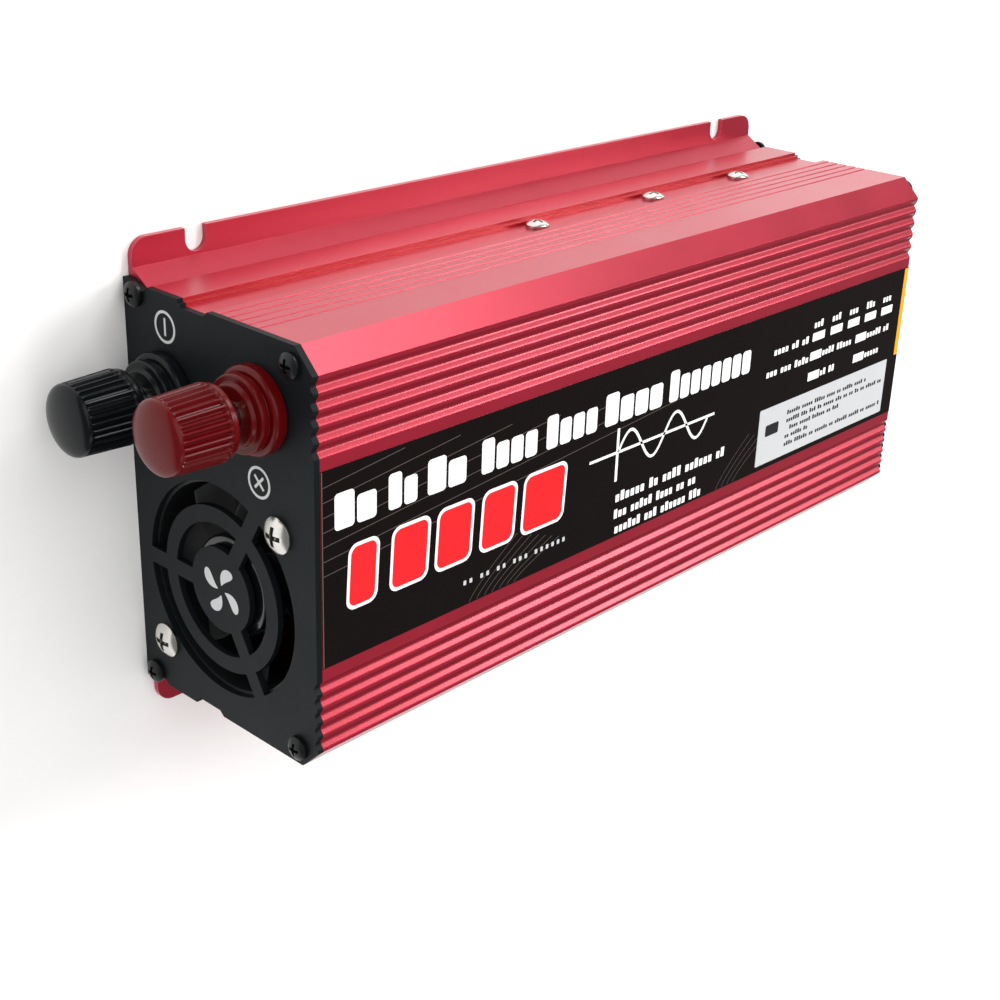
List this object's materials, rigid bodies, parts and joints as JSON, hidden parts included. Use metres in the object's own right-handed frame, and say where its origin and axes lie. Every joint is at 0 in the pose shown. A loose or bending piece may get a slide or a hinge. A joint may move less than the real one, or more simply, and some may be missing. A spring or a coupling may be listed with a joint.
{
  "type": "power inverter",
  "caption": "Power inverter in a ribbed, flanged aluminium case, with a fan and screw-down battery terminals at one end and a mains outlet and rocker switch at the other.",
  "frame": {"origin": "middle of the base face, halfway along and across the case", "axes": "+Z from the flanged base up to the label face; X along the case, with the fan and battery terminals at -X and the mains outlet at +X; Y across it, with the terminals on the +Y side"},
  "size_m": [0.2514, 0.111, 0.0602],
  "materials": {
    "anodised_red": "anodised satin",
    "black_plate": "matte powder coat",
    "black_screw": "black oxide",
    "label_film": "printed film",
    "fan_plastic": "moulded",
    "copper": "enamelled wire",
    "zinc_steel": "zinc plated",
    "nickel_screw": "nickel plated",
    "red_moulding": "moulded, glossy",
    "black_moulding": "moulded",
    "nickel_brass": "nickel plated",
    "white_nylon": "moulded nylon",
    "tinned_copper": "tin plated",
    "brass": "turned",
    "rocker_red": "moulded, glossy",
    "led_green": "clear tinted epoxy",
    "led_red": "clear tinted epoxy",
    "circuit_board": "solder resist",
    "fish_paper": "calendered sheet",
    "ferrite": "sintered",
    "yellow_tape": "polyester tape",
    "capacitor_sleeve": "shrink sleeve",
    "iron_powder": "painted",
    "fuse_green": "clear moulding",
    "black_epoxy": "moulded",
    "silicone_pad": "sheet",
    "red_wire": "PVC insulation",
    "black_wire": "PVC insulation",
    "white_wire": "PVC insulation"
  },
  "bodies": {
    "housing": {"case_extrusion": "anodised_red", "fan_end_plate": "black_plate", "outlet_end_plate": "black_plate", "end_plate_screws": "black_screw", "label": "label_film", "fan_frame": "fan_plastic", "fan_stator": "copper", "fan_screws": "nickel_screw", "positive_base": "red_moulding", "negative_base": "black_moulding", "positive_stud": "nickel_brass", "negative_stud": "nickel_brass", "inner_bushes": "white_nylon", "stud_nuts": "nickel_brass", "cable_lugs": "tinned_copper", "outlet_face": "black_moulding", "outlet_shell": "white_nylon", "outlet_contacts": "brass", "switch_housing": "black_moulding", "switch_terminals": "brass", "power_led": "led_green", "fault_led": "led_red", "main_board": "circuit_board", "insulation_sheet": "fish_paper", "transformer_cores": "ferrite", "transformer_windings": "yellow_tape", "input_capacitors": "capacitor_sleeve", "bulk_capacitor": "capacitor_sleeve", "choke_core": "iron_powder", "choke_winding": "copper", "blade_fuses": "fuse_green", "transistors": "black_epoxy", "insulating_pads": "silicone_pad", "clamp_bars": "zinc_steel", "clamp_screws": "nickel_screw", "control_board": "circuit_board", "control_chips": "black_epoxy", "buzzer": "black_epoxy", "positive_lead": "red_wire", "negative_lead": "black_wire", "outlet_leads": "white_wire", "fan_lead": "red_wire"},
    "fan_impeller": {"fan_rotor": "fan_plastic", "fan_shaft": "zinc_steel"},
    "positive_clamp": {"positive_washer": "nickel_brass"},
    "positive_knob_body": {"positive_knob": "red_moulding", "positive_insert": "brass"},
    "negative_clamp": {"negative_washer": "nickel_brass"},
    "negative_knob_body": {"negative_knob": "black_moulding", "negative_insert": "brass"},
    "rocker": {"switch_rocker": "rocker_red"}
  },
  "joints": [
    {"name": "fan_spin", "type": "hinge", "parent": "housing", "child": "fan_impeller", "pos_m": [-0.1035, -0.0148, 0.029], "axis": [1, 0, 0], "continuous": true},
    {"name": "positive_clamp_slide", "type": "slide", "parent": "housing", "child": "positive_clamp", "axis": [-1, 0, 0], "range_m": [-0.0015, 0.0025]},
    {"name": "positive_knob_turn", "type": "hinge", "parent": "positive_clamp", "child": "positive_knob_body", "pos_m": [-0.129, 0.0307, 0.0435], "axis": [-1, 0, 0], "range_deg": [-540, 900]},
    {"name": "negative_clamp_slide", "type": "slide", "parent": "housing", "child": "negative_clamp", "axis": [-1, 0, 0], "range_m": [-0.0015, 0.0025]},
    {"name": "negative_knob_turn", "type": "hinge", "parent": "negative_clamp", "child": "negative_knob_body", "pos_m": [-0.129, 0.0254, 0.0135], "axis": [-1, 0, 0], "range_deg": [-540, 900]},
    {"name": "rocker_tilt", "type": "hinge", "parent": "housing", "child": "rocker", "pos_m": [0.11, 0.019, 0.035], "axis": [0, -1, 0], "range_deg": [0, 20]}
  ],
  "couplings": [
    {"joint": "positive_knob_turn", "follows": "positive_clamp_slide", "rad_per_m": 6283.2},
    {"joint": "negative_knob_turn", "follows": "negative_clamp_slide", "rad_per_m": 6283.2}
  ]
}
